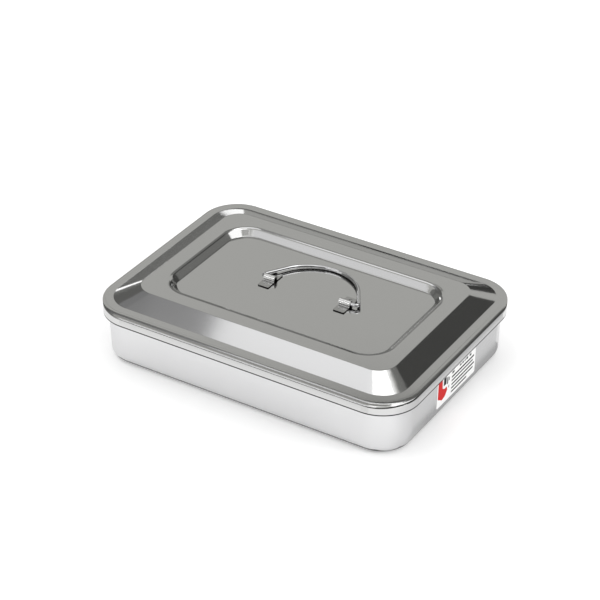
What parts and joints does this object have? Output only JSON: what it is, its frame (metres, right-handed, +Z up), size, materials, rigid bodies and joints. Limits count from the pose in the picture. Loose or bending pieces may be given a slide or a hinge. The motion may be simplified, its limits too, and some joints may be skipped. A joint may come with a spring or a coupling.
{
  "type": "sterilization container",
  "caption": "Rectangular stainless steel instrument tray with a rolled rim, a lift-off pressed lid and a folding wire bail.",
  "frame": {"origin": "centre of the underside of the tray, on the surface that it stands on", "axes": "+X along the long side to the end that carries the sticker, +Y towards the back, where the bail lies, +Z up"},
  "size_m": [0.26, 0.183, 0.0548],
  "materials": {
    "drawn_steel": "satin",
    "pressed_steel": "satin",
    "saddle_steel": "bright satin",
    "wire_steel": "polished",
    "sticker": "coated paper"
  },
  "bodies": {
    "tray": {"tray": "drawn_steel", "end_label": "sticker"},
    "lid": {"lid": "pressed_steel", "left_saddle": "saddle_steel", "right_saddle": "saddle_steel"},
    "bail": {"bail_handle": "wire_steel"}
  },
  "joints": [
    {"name": "lid_lift", "type": "slide", "parent": "tray", "child": "lid", "axis": [0, 0, 1], "range_m": [0, 0.09]},
    {"name": "bail_swing", "type": "hinge", "parent": "lid", "child": "bail", "pos_m": [0, 0.0014, 0.05245], "axis": [1, 0, 0], "range_deg": [0, 183.4]}
  ]
}
